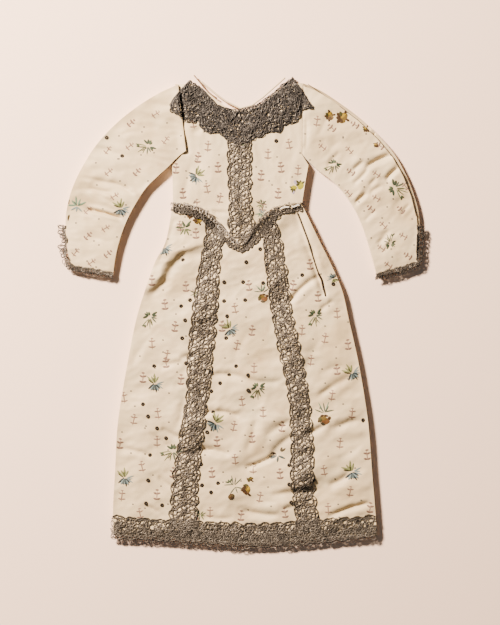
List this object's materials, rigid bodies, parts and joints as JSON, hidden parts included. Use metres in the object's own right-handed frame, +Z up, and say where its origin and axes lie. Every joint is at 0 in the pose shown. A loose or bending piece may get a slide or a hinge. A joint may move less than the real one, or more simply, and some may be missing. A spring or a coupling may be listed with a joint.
{
  "type": "small historic dress laid flat",
  "caption": "Small long-sleeved silk gown laid flat, front up, with lace collar, centre strip, V waist, two skirt strips, hem and cuffs.",
  "frame": {"origin": "centre of the laid gown's outline, on the surface it rests on", "axes": "+Y from the hem to the neck, +X towards the right of the view, +Z up out of the front"},
  "size_m": [0.373, 0.473, 0.0121],
  "materials": {
    "silk": "cream silk with a faint sheen",
    "metal_lace": "tarnished metal-thread bobbin lace",
    "dark_lace": "blackened metal-thread bobbin lace",
    "spangle": "tarnished metal spangles",
    "floss": "coloured silk floss of the woven sprigs"
  },
  "bodies": {
    "root": {"bodice_front": "silk", "bodice_back": "silk", "sleeve_top_left": "silk", "sleeve_top_right": "silk", "sleeve_under_left": "silk", "sleeve_under_right": "silk", "skirt_front": "silk", "skirt_back": "silk", "collar_lace": "dark_lace", "centre_lace": "metal_lace", "waist_lace": "metal_lace", "skirt_lace_left": "metal_lace", "skirt_lace_right": "metal_lace", "hem_lace": "metal_lace", "cuff_lace_left": "metal_lace", "cuff_lace_right": "metal_lace", "slit_lace_left": "metal_lace", "slit_lace_right": "metal_lace"}
  },
  "joints": []
}
